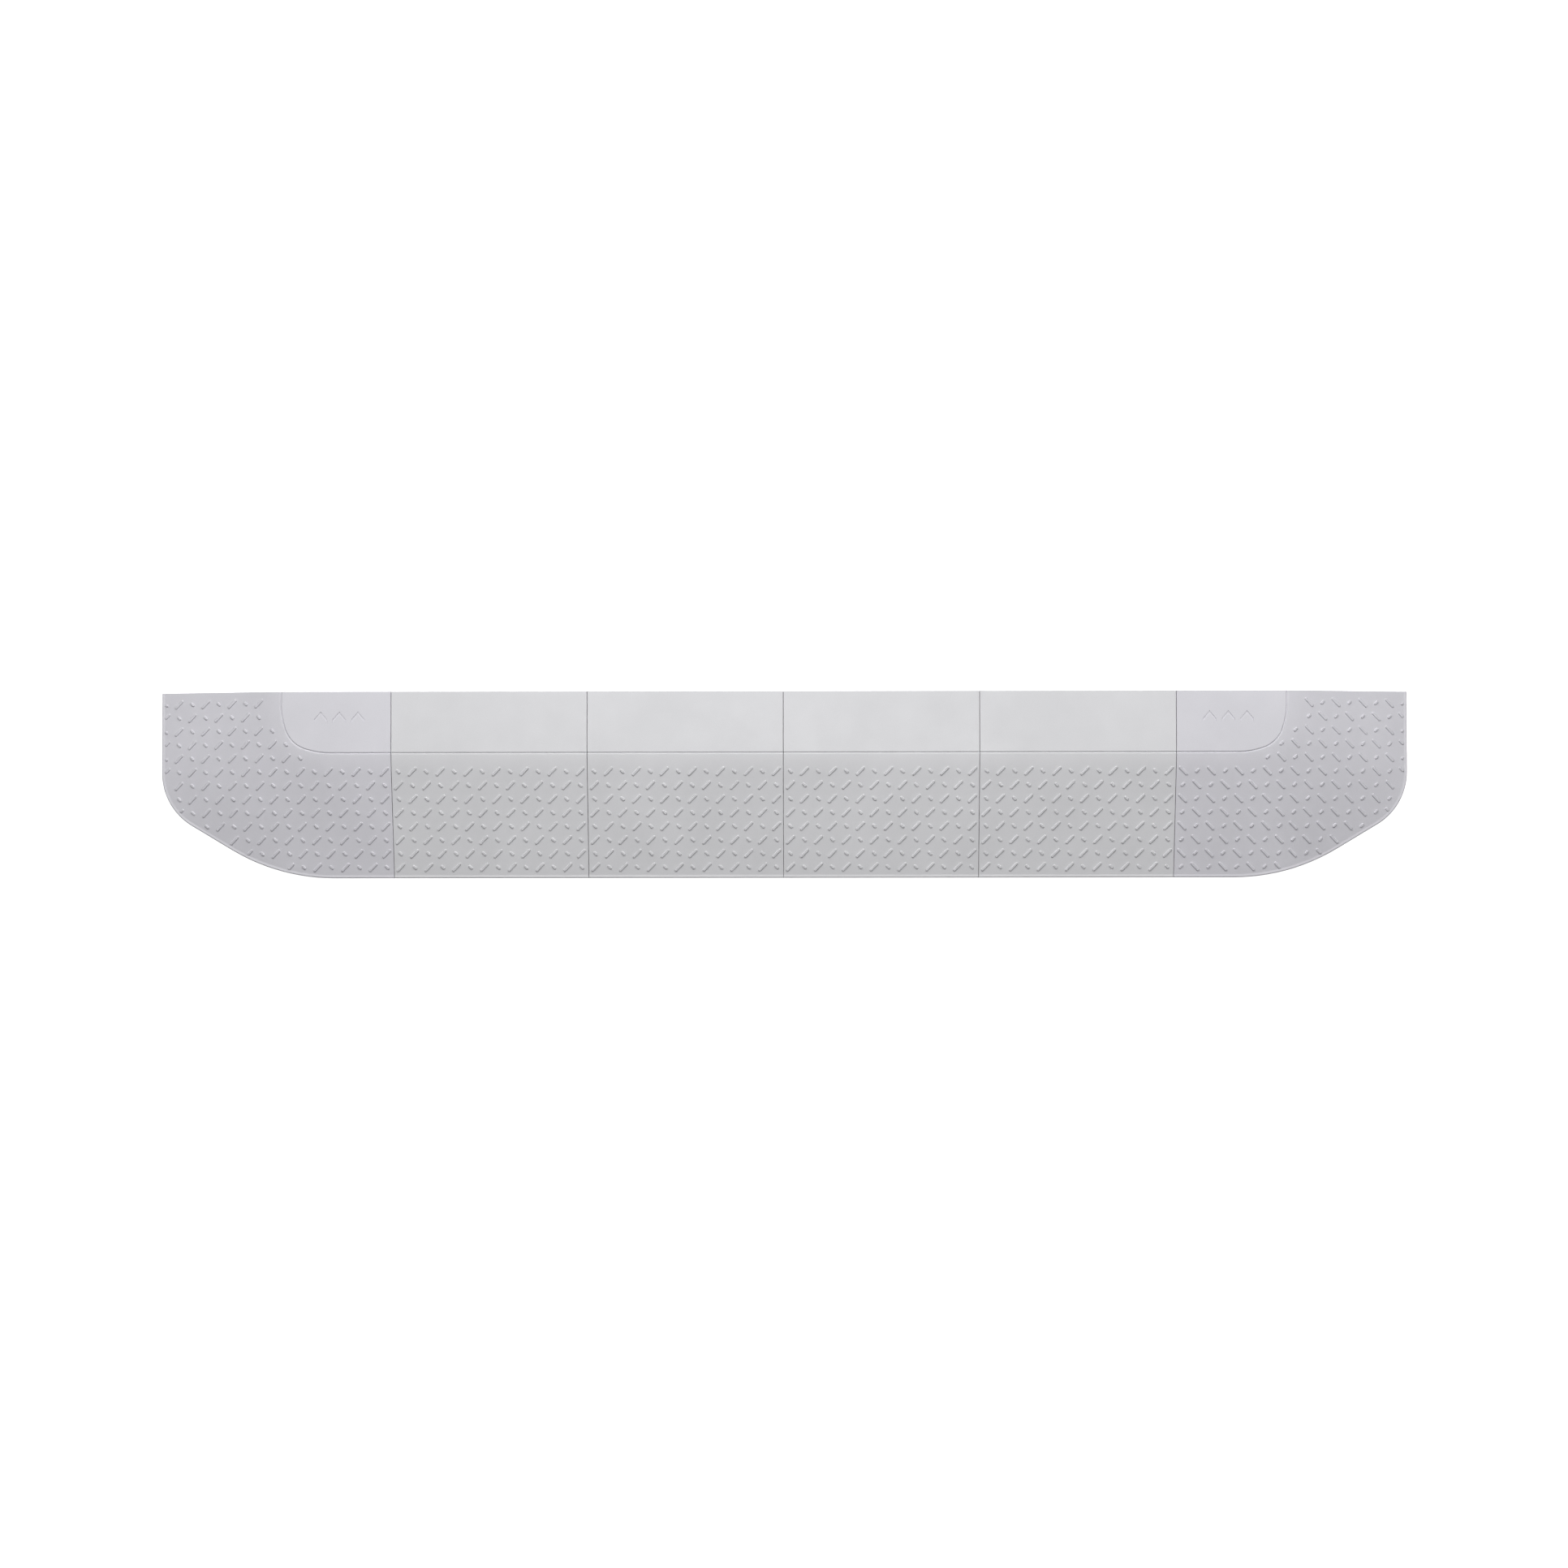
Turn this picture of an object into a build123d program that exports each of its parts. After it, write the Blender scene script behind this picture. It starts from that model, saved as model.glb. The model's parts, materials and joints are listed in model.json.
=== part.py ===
from build123d import *
import math
import os

# Modular threshold ramp, in millimetres.
# +X runs along the doorway, +Y points at the door sill (the high side) and +Z is up.
# The origin is on the floor, under the centre of the whole ramp's footprint.

# Overall sizes
MIDDLE_COUNT = 4
MIDDLE_WIDTH = 157.5
END_WIDTH = 189.0
RAMP_DEPTH = 150.0
PLATFORM_DEPTH = 49.0
PLATFORM_HEIGHT = 24.0
END_PLATFORM_WIDTH = 88.0
LIP_WIDTH = 2.0
LIP_HEIGHT = 2.0
RIM_CLEARANCE = 0.5
SEAM_GAP = 0.3
EDGE_RADIUS = 0.6

# Plan outline of an end module, from the rear edge round to the front edge
DIAGONAL_ANGLE = 31.0
DIAGONAL_LENGTH = 38.0
CORNER_RADIUS = 50.0
FRONT_RADIUS = 162.0

# Corner of the platform edge on an end module: soft, tight, soft
CREASE_SOFT_RADIUS = 60.0
CREASE_TIGHT_RADIUS = 24.0
CREASE_SOFT_TURN = 20.0
CREASE_APEX_TURN = 2.0

# V groove along the platform edge
GROOVE_UPHILL = 0.3
GROOVE_BOTTOM = -0.4
GROOVE_DOWNHILL = -1.3
GROOVE_DEPTH = 0.8

# Tread bars: long and short ones take turns on a square grid laid on the slope
TREAD_PITCH = 11.25
TREAD_WIDTH = 2.3
LONG_TREAD = 9.5
SHORT_TREAD = 4.3
TREAD_HEIGHT = 0.9
TREAD_ANGLE = 45.0
FIRST_ROW_Y = 10.65
MIDDLE_ROWS = 8
EXTRA_END_ROWS = 5
END_COLUMNS = 17
FIRST_FREE_COLUMN = 10
STAIRCASE_COLUMN = 6
TREAD_MARGIN = LIP_WIDTH + 0.6
TRIM_SLACK = 0.2
SHORTEST_SLOT = 0.3

# Direction mark: three chevrons sunk in each end module's platform
MARK_COUNT = 3
MARK_PITCH = 15.0
MARK_WIDTH = 10.5
MARK_RISE = 6.2
MARK_STROKE = 2.4
MARK_DEPTH = 0.5
MARK_FROM_SEAM = 41.5
MARK_Y = 54.5

# Hollow underside
WALL = 2.5
SOLID_EDGE = 17.0
RIB = 2.0
RIB_PITCH = MIDDLE_WIDTH / 5
END_RIB_COUNT = 5
CROSS_RIB_Y = (40.0, 5.0, -30.0)

# Joining clips: bow ties, two at each seam
CLIP_Y = {"rear": 52.0, "front": -5.0}
CLIP_REACH = 14.0
CLIP_NECK = 8.0
CLIP_END = 16.0
CLIP_BOTTOM = 0.8
CLIP_TOP = 8.8
CLIP_ROUND = 1.0
CLIP_LEAD = 0.6
CLIP_CLEARANCE = 0.3
CLIP_BLOCK_DEPTH = 17.5
CLIP_BLOCK_WIDTH = 22.0
PRY_SLOT_LENGTH = 12.0
PRY_SLOT_WIDTH = 2.0
PRY_SLOT_DEPTH = 1.5

# Anti-slip feet and grip strips
FOOT_RADIUS = 11.0
FOOT_HEIGHT = 2.0
FOOT_BOSS_RADIUS = 13.0
FOOT_Y = 60.0
MIDDLE_FOOT_PITCHES = (-1.5, 1.5)
END_FOOT_PITCHES = (1.0, 2.5)
GRIP_WIDTH = 10.0
GRIP_HEIGHT = 1.3
GRIP_INSET = 5.0
GRIP_SIDE_GAP = 20.0
SIDE_GRIP_Y = (15.0, 65.0)

REAR_Y = RAMP_DEPTH / 2
FRONT_Y = -RAMP_DEPTH / 2
CREASE_Y = REAR_Y - PLATFORM_DEPTH
INNER_SPAN = MIDDLE_COUNT * MIDDLE_WIDTH
END_SEAM_X = INNER_SPAN / 2
OUTER_X = END_SEAM_X + END_WIDTH
SLOPE_LENGTH = RAMP_DEPTH - PLATFORM_DEPTH - LIP_WIDTH
SLOPE_FALL = (PLATFORM_HEIGHT - LIP_HEIGHT) / SLOPE_LENGTH
ROW_PITCH = TREAD_PITCH * math.cos(math.atan(SLOPE_FALL))
ROOF_DROP = WALL * math.hypot(1, SLOPE_FALL)
CORNER_TURN = 90 - DIAGONAL_ANGLE
HALF_GAP = SEAM_GAP / 2
SEAM_FACE = MIDDLE_WIDTH / 2 - HALF_GAP
TALL = 2 * PLATFORM_HEIGHT
TOLERANCE = 0.001


def box_between(low, high):
    """A box from its lowest corner to its highest corner."""
    size = [b - a for a, b in zip(low, high)]
    centre = [(a + b) / 2 for a, b in zip(low, high)]
    return Pos(*centre) * Box(*size)


def union(shapes):
    """All the shapes as one part."""
    joined = Part()
    for shape in shapes:
        joined += shape
    return joined


def trace(start, steps, z):
    """Edges of a path that starts along -Y: a step is a length, or a radius and a left turn in degrees."""
    x, y = start
    heading = -90.0
    edges = []
    for step in steps:
        if isinstance(step, tuple):
            radius, turn = step
            to_centre = math.radians(heading + 90)
            centre = (x + radius * math.cos(to_centre), y + radius * math.sin(to_centre))
            edges.append(CenterArc((*centre, z), radius, heading - 90, turn))
            heading += turn
            out = math.radians(heading - 90)
            x, y = centre[0] + radius * math.cos(out), centre[1] + radius * math.sin(out)
        else:
            along = math.radians(heading)
            end = (x + step * math.cos(along), y + step * math.sin(along))
            edges.append(Line((x, y, z), (*end, z)))
            x, y = end
    return edges, (x, y)


def close_outline(start, edges, end, z):
    """Closes a traced path along the seam and the rear edge."""
    rear_corner = (end[0], start[1], z)
    seam_edge = Line((*end, z), rear_corner)
    rear_edge = Line(rear_corner, (*start, z))
    return make_face(edges + [seam_edge, rear_edge])


def end_outline(inset, rear_inset, seam_inset, z):
    """The left end module's outline, moved in by inset along its side, diagonal and front."""
    diagonal = math.radians(DIAGONAL_ANGLE)
    corner_drop = CORNER_RADIUS * math.sin(math.radians(CORNER_TURN))
    diagonal_drop = DIAGONAL_LENGTH * math.sin(diagonal)
    front_drop = FRONT_RADIUS * (1 - math.cos(diagonal))
    side_straight = RAMP_DEPTH - corner_drop - diagonal_drop - front_drop
    corner_run = CORNER_RADIUS * (1 - math.cos(math.radians(CORNER_TURN)))
    diagonal_run = DIAGONAL_LENGTH * math.cos(diagonal)
    front_run = FRONT_RADIUS * math.sin(diagonal)
    front_straight = END_WIDTH - corner_run - diagonal_run - front_run
    corner = CORNER_RADIUS - inset
    front = FRONT_RADIUS - inset
    start = (-OUTER_X + inset, REAR_Y - rear_inset)
    steps = [
        side_straight - rear_inset,
        (corner, CREASE_SOFT_TURN),
        (corner, CORNER_TURN - CREASE_SOFT_TURN),
        DIAGONAL_LENGTH,
        (front, DIAGONAL_ANGLE - CREASE_SOFT_TURN),
        (front, CREASE_SOFT_TURN),
        front_straight - seam_inset,
    ]
    edges, end = trace(start, steps, z)
    return close_outline(start, edges, end, z)


def crease_steps():
    """The platform's edge on the left end module, from the rear edge round to the seam."""
    soft = math.radians(CREASE_SOFT_TURN)
    corner_size = CREASE_SOFT_RADIUS * (1 - math.cos(soft) + math.sin(soft))
    corner_size += CREASE_TIGHT_RADIUS * (math.cos(soft) - math.sin(soft))
    half_apex = CREASE_APEX_TURN / 2
    return [
        PLATFORM_DEPTH - corner_size,
        (CREASE_SOFT_RADIUS, CREASE_SOFT_TURN),
        (CREASE_TIGHT_RADIUS, CORNER_TURN - CREASE_SOFT_TURN - half_apex),
        (CREASE_TIGHT_RADIUS, CREASE_APEX_TURN),
        (CREASE_TIGHT_RADIUS, DIAGONAL_ANGLE - CREASE_SOFT_TURN - half_apex),
        (CREASE_SOFT_RADIUS, CREASE_SOFT_TURN),
        END_PLATFORM_WIDTH - corner_size - HALF_GAP,
    ]


def end_platform():
    """The left end module's platform outline."""
    start = (-END_SEAM_X - END_PLATFORM_WIDTH, REAR_Y)
    edges, end = trace(start, crease_steps(), PLATFORM_HEIGHT)
    return close_outline(start, edges, end, PLATFORM_HEIGHT)


def slope_block(platform, lip, footprint):
    """A solid module: a slab for the lip, and the ruled slope between lip and platform."""
    slab = extrude(footprint, LIP_HEIGHT - RIM_CLEARANCE, dir=(0, 0, 1))
    return slab + loft([lip, platform], ruled=True)


def end_block():
    """The left end module as a solid block."""
    platform = end_platform()
    lip = end_outline(LIP_WIDTH, 0, HALF_GAP, LIP_HEIGHT)
    footprint = end_outline(0, 0, HALF_GAP, RIM_CLEARANCE)
    return slope_block(platform, lip, footprint)


def rectangle(x_low, x_high, y_low, y_high, z):
    """A flat rectangular face."""
    centre = ((x_low + x_high) / 2, (y_low + y_high) / 2, z)
    return Pos(*centre) * Rectangle(x_high - x_low, y_high - y_low)


def middle_block():
    """A middle module as a solid block, centred on x = 0."""
    profile = Polyline(
        (-SEAM_FACE, REAR_Y, RIM_CLEARANCE),
        (-SEAM_FACE, REAR_Y, PLATFORM_HEIGHT),
        (-SEAM_FACE, CREASE_Y, PLATFORM_HEIGHT),
        (-SEAM_FACE, FRONT_Y + LIP_WIDTH, LIP_HEIGHT),
        (-SEAM_FACE, FRONT_Y, LIP_HEIGHT),
        (-SEAM_FACE, FRONT_Y, RIM_CLEARANCE),
        close=True,
    )
    return extrude(make_face(profile), 2 * SEAM_FACE, dir=(1, 0, 0))


def softened(block, depth_inside):
    """A block with its top edges rounded where depth_inside says they run along its outside."""
    top_edges = [e for e in block.edges() if all(v.Z > LIP_HEIGHT - TOLERANCE for v in e.vertices())]
    middles = [e.position_at(0.5) for e in top_edges]
    outside = [e for e, p in zip(top_edges, middles) if depth_inside(p.X, p.Y) < TOLERANCE]
    return fillet(outside, EDGE_RADIUS)


def inside_middle(x, y):
    """How far a point lies inside a middle module that is centred on x = 0."""
    return min(SEAM_FACE - abs(x), REAR_Y - y, y - FRONT_Y)


def inside_end(x, y):
    """How far a point lies inside the left end module."""
    return min(-END_SEAM_X - HALF_GAP - x, REAR_Y - y, edge_distance(x, y))


def groove_section(origin, uphill):
    """The V section of the groove, where uphill points from the slope to the platform."""
    plane = Plane(origin=origin, x_dir=uphill, z_dir=Vector(*uphill).cross(Vector(0, 0, 1)))
    section = Polyline(
        (GROOVE_UPHILL, 0),
        (GROOVE_BOTTOM, -GROOVE_DEPTH),
        (GROOVE_DOWNHILL, GROOVE_DOWNHILL * SLOPE_FALL),
        (GROOVE_DOWNHILL, 1),
        (GROOVE_UPHILL, 1),
        close=True,
    )
    return plane * make_face(section)


def middle_groove():
    """The straight groove of a middle module."""
    half = MIDDLE_WIDTH / 2
    section = groove_section((-half, CREASE_Y, PLATFORM_HEIGHT), (0, 1, 0))
    return extrude(section, 2 * half, dir=(1, 0, 0))


def end_groove():
    """The groove of the left end module, which turns up to the rear edge."""
    start = (-END_SEAM_X - END_PLATFORM_WIDTH, REAR_Y)
    edges, _ = trace(start, crease_steps(), PLATFORM_HEIGHT)
    section = groove_section((*start, PLATFORM_HEIGHT), (1, 0, 0))
    return sweep(section, path=Wire(edges))


def edge_distance(x, y):
    """How far a point lies inside the left end module's outer edge."""
    diagonal = math.radians(DIAGONAL_ANGLE)
    along = (math.cos(diagonal), -math.sin(diagonal))
    inward = (math.sin(diagonal), math.cos(diagonal))
    front_centre = (
        -OUTER_X
        + CORNER_RADIUS * (1 - math.sin(diagonal))
        + DIAGONAL_LENGTH * along[0]
        + FRONT_RADIUS * inward[0],
        FRONT_Y + FRONT_RADIUS,
    )
    diagonal_end = [c - FRONT_RADIUS * n for c, n in zip(front_centre, inward)]
    diagonal_start = [e - DIAGONAL_LENGTH * a for e, a in zip(diagonal_end, along)]
    corner_centre = [s + CORNER_RADIUS * n for s, n in zip(diagonal_start, inward)]
    past_start = sum((p - s) * a for p, s, a in zip((x, y), diagonal_start, along))
    past_end = past_start - DIAGONAL_LENGTH
    if y > corner_centre[1]:
        return x + OUTER_X
    if past_start < 0:
        return CORNER_RADIUS - math.dist((x, y), corner_centre)
    if past_end < 0:
        return sum((p - s) * n for p, s, n in zip((x, y), diagonal_start, inward))
    if x < front_centre[0]:
        return FRONT_RADIUS - math.dist((x, y), front_centre)
    return y - FRONT_Y


def tread_line(x, y, is_long):
    """The two end centres of a bar: long ones lean right and short ones lean left."""
    length = (LONG_TREAD if is_long else SHORT_TREAD) - TREAD_WIDTH
    lean = math.radians(TREAD_ANGLE if is_long else 180 - TREAD_ANGLE)
    reach = (length / 2 * math.cos(lean), length / 2 * math.sin(lean))
    return (x - reach[0], y - reach[1]), (x + reach[0], y + reach[1])


def trimmed(line):
    """The stretch of a bar's line that keeps the whole bar off the lip, or None."""
    needed = TREAD_MARGIN + TREAD_WIDTH / 2
    near, far = sorted(line, key=lambda point: edge_distance(*point))
    low, high = edge_distance(*near), edge_distance(*far)
    if high < needed - TRIM_SLACK:
        return None
    if low < needed:
        share = min(1, (needed - low) / (high - low))
        near = tuple(a + share * (b - a) for a, b in zip(near, far))
    return near, far


def tread_prism(line):
    """A tall upright bar with round ends, later cut to the slope."""
    (ax, ay), (bx, by) = line
    length = math.dist((ax, ay), (bx, by))
    if length < SHORTEST_SLOT:
        return Pos(bx, by, TALL / 2) * Cylinder(TREAD_WIDTH / 2, TALL)
    angle = math.degrees(math.atan2(by - ay, bx - ax))
    slot = Pos((ax + bx) / 2, (ay + by) / 2) * Rot(0, 0, angle) * SlotCenterToCenter(length, TREAD_WIDTH)
    return extrude(slot, TALL)


def middle_tread_lines():
    """The bars of a middle module, centred on x = 0."""
    columns = round(MIDDLE_WIDTH / TREAD_PITCH)
    lines = []
    for row in range(MIDDLE_ROWS):
        for column in range(columns):
            x = -MIDDLE_WIDTH / 2 + (column + 0.5) * TREAD_PITCH
            y = FIRST_ROW_Y - row * ROW_PITCH
            lines.append(tread_line(x, y, (row + column) % 2 == 1))
    return lines


def end_tread_lines():
    """The bars of the left end module, counted leftwards from its seam."""
    lines = []
    for row in range(-EXTRA_END_ROWS, MIDDLE_ROWS):
        first = 1
        if row < 0:
            first = min(FIRST_FREE_COLUMN, STAIRCASE_COLUMN - row)
        for column in range(first, END_COLUMNS + 1):
            x = -END_SEAM_X - (column - 0.5) * TREAD_PITCH
            y = FIRST_ROW_Y - row * ROW_PITCH
            line = trimmed(tread_line(x, y, (row + column) % 2 == 1))
            if line:
                lines.append(line)
    return lines


def with_treads(block, rounded_block, lines):
    """Adds the bars to the rounded block, each following the slope one tread height above it."""
    raised = Pos(0, 0, TREAD_HEIGHT) * block
    bars = [tread_prism(line) & raised for line in lines]
    return rounded_block.fuse(*bars)


def chevron(x, y):
    """One chevron of the direction mark, pointing at the sill."""
    half = MARK_WIDTH / 2
    points = [
        (-half, -MARK_RISE / 2),
        (0, MARK_RISE / 2),
        (half, -MARK_RISE / 2),
        (half, -MARK_RISE / 2 - MARK_STROKE),
        (0, MARK_RISE / 2 - MARK_STROKE),
        (-half, -MARK_RISE / 2 - MARK_STROKE),
    ]
    face = make_face(Polyline(*points, close=True))
    return extrude(Pos(x, y + MARK_STROKE / 2, PLATFORM_HEIGHT - MARK_DEPTH) * face, 2 * MARK_DEPTH)


def direction_mark():
    """The row of chevrons on the left end module."""
    centre = -END_SEAM_X - MARK_FROM_SEAM
    offsets = [(i - (MARK_COUNT - 1) / 2) * MARK_PITCH for i in range(MARK_COUNT)]
    return union(chevron(centre + offset, MARK_Y) for offset in offsets)


def ribs(x_positions):
    """Upright ribs across the hollow, both ways."""
    half_rib = RIB / 2
    far = OUTER_X
    plates = [box_between((x - half_rib, FRONT_Y, 0), (x + half_rib, REAR_Y, TALL)) for x in x_positions]
    plates += [box_between((-far, y - half_rib, 0), (far, y + half_rib, TALL)) for y in CROSS_RIB_Y]
    return plates


def foot_bosses(x_positions):
    """Round bosses that carry the rear feet."""
    return [Pos(x, FOOT_Y, TALL / 2) * Cylinder(FOOT_BOSS_RADIUS, TALL) for x in x_positions]


def clip_block(seam_x, side):
    """Solid blocks round the clip pockets on one side of a seam, side -1 for left and 1 for right."""
    blocks = []
    for y in CLIP_Y.values():
        ends = sorted((seam_x, seam_x + side * CLIP_BLOCK_DEPTH))
        low = (ends[0], y - CLIP_BLOCK_WIDTH / 2, 0)
        high = (ends[1], y + CLIP_BLOCK_WIDTH / 2, TALL)
        blocks.append(box_between(low, high))
    return blocks


def clip_plan():
    """The bow tie seen from above, centred on its seam."""
    points = [
        (-CLIP_REACH, -CLIP_END / 2),
        (0, -CLIP_NECK / 2),
        (CLIP_REACH, -CLIP_END / 2),
        (CLIP_REACH, CLIP_END / 2),
        (0, CLIP_NECK / 2),
        (-CLIP_REACH, CLIP_END / 2),
    ]
    face = make_face(Polyline(*points, close=True))
    corners = face.vertices().filter_by(lambda v: abs(v.X) > CLIP_REACH / 2)
    return fillet(corners, CLIP_ROUND)


def clip(seam_x, y):
    """One joining clip, with a lead-in round its top and a slot to prise it out from below."""
    body = extrude(Pos(seam_x, y, CLIP_BOTTOM) * clip_plan(), CLIP_TOP - CLIP_BOTTOM)
    body = chamfer(body.faces().sort_by(Axis.Z)[-1].edges(), CLIP_LEAD)
    slot = Box(PRY_SLOT_WIDTH, PRY_SLOT_LENGTH / 2, 2 * PRY_SLOT_DEPTH)
    return body - Pos(seam_x - CLIP_REACH / 2, y, CLIP_BOTTOM) * slot


def pocket_cuts(seam_x, side):
    """The pockets on one side of a seam: tight on the left of it, loose on the right of it."""
    play = CLIP_CLEARANCE if side > 0 else 0
    plan = offset(clip_plan(), play) if play else clip_plan()
    cuts = []
    for y in CLIP_Y.values():
        pocket = extrude(Pos(seam_x, y) * plan, CLIP_TOP + play)
        ends = sorted((seam_x, seam_x + side * 2 * CLIP_REACH))
        keep = box_between((ends[0], -RAMP_DEPTH, 0), (ends[1], RAMP_DEPTH, TALL))
        cuts.append(pocket & keep)
    return cuts


def foot(x):
    """A round rubber foot under a rear boss."""
    return Pos(x, FOOT_Y, FOOT_HEIGHT / 2) * Cylinder(FOOT_RADIUS, FOOT_HEIGHT)


def foot_room(x):
    """The space below a rear boss that its foot stands in."""
    return Pos(x, FOOT_Y, FOOT_HEIGHT / 2) * Cylinder(FOOT_BOSS_RADIUS, FOOT_HEIGHT)


def front_grip(x_low, x_high):
    """A rubber strip under the front edge."""
    y_low = FRONT_Y + GRIP_INSET
    return box_between((x_low, y_low, 0), (x_high, y_low + GRIP_WIDTH, GRIP_HEIGHT))


def side_grip():
    """A rubber strip under the left end module's side edge."""
    x_low = -OUTER_X + GRIP_INSET
    return box_between((x_low, SIDE_GRIP_Y[0], 0), (x_low + GRIP_WIDTH, SIDE_GRIP_Y[1], GRIP_HEIGHT))


def hollow(block, region, solids):
    """The space under a module's roof, less its ribs, bosses and blocks."""
    space = (Pos(0, 0, -ROOF_DROP) * block) & extrude(region, TALL, dir=(0, 0, 1), both=True)
    return space.cut(*solids)


def middle_shell():
    """A middle module's shell, centred on x = 0."""
    half = MIDDLE_WIDTH / 2
    block = middle_block()
    outside = with_treads(block, softened(block, inside_middle), middle_tread_lines()) - middle_groove()
    inner = SEAM_FACE - WALL
    region = rectangle(-inner, inner, FRONT_Y + SOLID_EDGE, REAR_Y - WALL, 0)
    solids = ribs(middle_rib_x()) + foot_bosses(middle_foot_x())
    solids += clip_block(-half, 1) + clip_block(half, -1)
    cuts = [hollow(block, region, solids)]
    cuts += pocket_cuts(-half, 1) + pocket_cuts(half, -1)
    cuts += [foot_room(x) for x in middle_foot_x()]
    cuts.append(front_grip(*middle_grip_x()))
    return outside.cut(*cuts)


def middle_rib_x():
    """Rib places of a middle module, from its centre."""
    return [k * RIB_PITCH / 2 for k in (-3, -1, 1, 3)]


def middle_foot_x():
    """Foot places of a middle module, from its centre."""
    return [k * RIB_PITCH for k in MIDDLE_FOOT_PITCHES]


def middle_grip_x():
    """Both ends of a middle module's front grip, from its centre."""
    reach = MIDDLE_WIDTH / 2 - GRIP_SIDE_GAP
    return -reach, reach


def end_rib_x():
    """Rib places of the left end module."""
    return [-END_SEAM_X - (k + 1) * RIB_PITCH for k in range(END_RIB_COUNT)]


def end_foot_x():
    """Foot places of the left end module, inner one first."""
    return [-END_SEAM_X - k * RIB_PITCH for k in END_FOOT_PITCHES]


def end_grip_x():
    """Both ends of the left end module's front grip."""
    return -END_SEAM_X - END_PLATFORM_WIDTH + GRIP_SIDE_GAP, -END_SEAM_X - GRIP_SIDE_GAP


def plain_end_shell():
    """The left end module's shell, before its clip pockets are cut."""
    block = end_block()
    outside = with_treads(block, softened(block, inside_end), end_tread_lines())
    outside = outside - end_groove() - direction_mark()
    region = end_outline(SOLID_EDGE, WALL, HALF_GAP + WALL, 0)
    solids = ribs(end_rib_x()) + foot_bosses(end_foot_x())
    solids += clip_block(-END_SEAM_X, -1)
    cuts = [hollow(block, region, solids)]
    cuts += [foot_room(x) for x in end_foot_x()]
    cuts += [front_grip(*end_grip_x()), side_grip()]
    return outside.cut(*cuts)


def as_one(shape):
    """The single solid inside a result."""
    solids = shape.solids()
    if len(solids) != 1:
        raise ValueError(f"expected one solid, got {len(solids)}")
    return solids[0]


def to_right_end(shape):
    """The same piece on the other end of the ramp."""
    return mirror(shape, about=Plane.YZ)


def end_pieces():
    """Shells, feet and grips of both end modules."""
    left = plain_end_shell()
    right = to_right_end(left)
    pieces = {
        "left_end_shell": left.cut(*pocket_cuts(-END_SEAM_X, -1)),
        "right_end_shell": right.cut(*pocket_cuts(END_SEAM_X, 1)),
    }
    rubber = {
        "inner_foot": foot(end_foot_x()[0]),
        "outer_foot": foot(end_foot_x()[1]),
        "front_grip": front_grip(*end_grip_x()),
        "side_grip": side_grip(),
    }
    for name, piece in rubber.items():
        pieces[f"left_end_{name}"] = piece
        pieces[f"right_end_{name}"] = to_right_end(piece)
    return pieces


def middle_pieces():
    """Shells, feet and grips of the middle modules."""
    shell = as_one(middle_shell())
    left_foot, right_foot = (foot(x) for x in middle_foot_x())
    grip = front_grip(*middle_grip_x())
    pieces = {}
    for i in range(MIDDLE_COUNT):
        place = Pos((i + 0.5) * MIDDLE_WIDTH - END_SEAM_X, 0, 0)
        name = f"middle_{i + 1}"
        pieces[f"{name}_shell"] = place * shell
        pieces[f"{name}_left_foot"] = place * left_foot
        pieces[f"{name}_right_foot"] = place * right_foot
        pieces[f"{name}_front_grip"] = place * grip
    return pieces


def clip_pieces():
    """The joining clips, two at each seam."""
    pieces = {}
    for i in range(MIDDLE_COUNT + 1):
        seam_x = i * MIDDLE_WIDTH - END_SEAM_X
        for place, y in CLIP_Y.items():
            pieces[f"seam_{i + 1}_{place}_clip"] = clip(seam_x, y)
    return pieces


def main():
    os.makedirs("parts", exist_ok=True)
    pieces = {**end_pieces(), **middle_pieces(), **clip_pieces()}
    for name, piece in pieces.items():
        export_step(as_one(piece), f"parts/{name}.step")


main()
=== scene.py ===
import json
import math

import bmesh
import bpy
from mathutils import Matrix, Vector
from mathutils.bvhtree import BVHTree


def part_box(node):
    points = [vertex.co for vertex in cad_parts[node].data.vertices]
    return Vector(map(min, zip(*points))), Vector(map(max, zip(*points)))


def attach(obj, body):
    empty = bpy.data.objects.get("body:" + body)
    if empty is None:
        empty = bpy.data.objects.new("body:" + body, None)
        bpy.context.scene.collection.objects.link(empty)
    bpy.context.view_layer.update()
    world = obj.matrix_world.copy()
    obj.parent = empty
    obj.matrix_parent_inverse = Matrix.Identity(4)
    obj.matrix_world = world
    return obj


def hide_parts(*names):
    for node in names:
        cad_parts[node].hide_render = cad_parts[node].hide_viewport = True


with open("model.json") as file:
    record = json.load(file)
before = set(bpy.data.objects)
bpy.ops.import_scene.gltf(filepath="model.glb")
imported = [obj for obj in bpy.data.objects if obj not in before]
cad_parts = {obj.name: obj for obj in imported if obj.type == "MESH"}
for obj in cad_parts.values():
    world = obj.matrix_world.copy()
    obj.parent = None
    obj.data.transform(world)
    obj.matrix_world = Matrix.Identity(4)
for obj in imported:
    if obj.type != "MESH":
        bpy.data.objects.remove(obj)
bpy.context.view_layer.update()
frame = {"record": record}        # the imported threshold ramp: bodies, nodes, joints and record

# The model's lengths are in millimetres in the frame's own axes. make_object scales its meshes to metres.
# The lights, the camera and the materials use metres.
MM = 0.001

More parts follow.
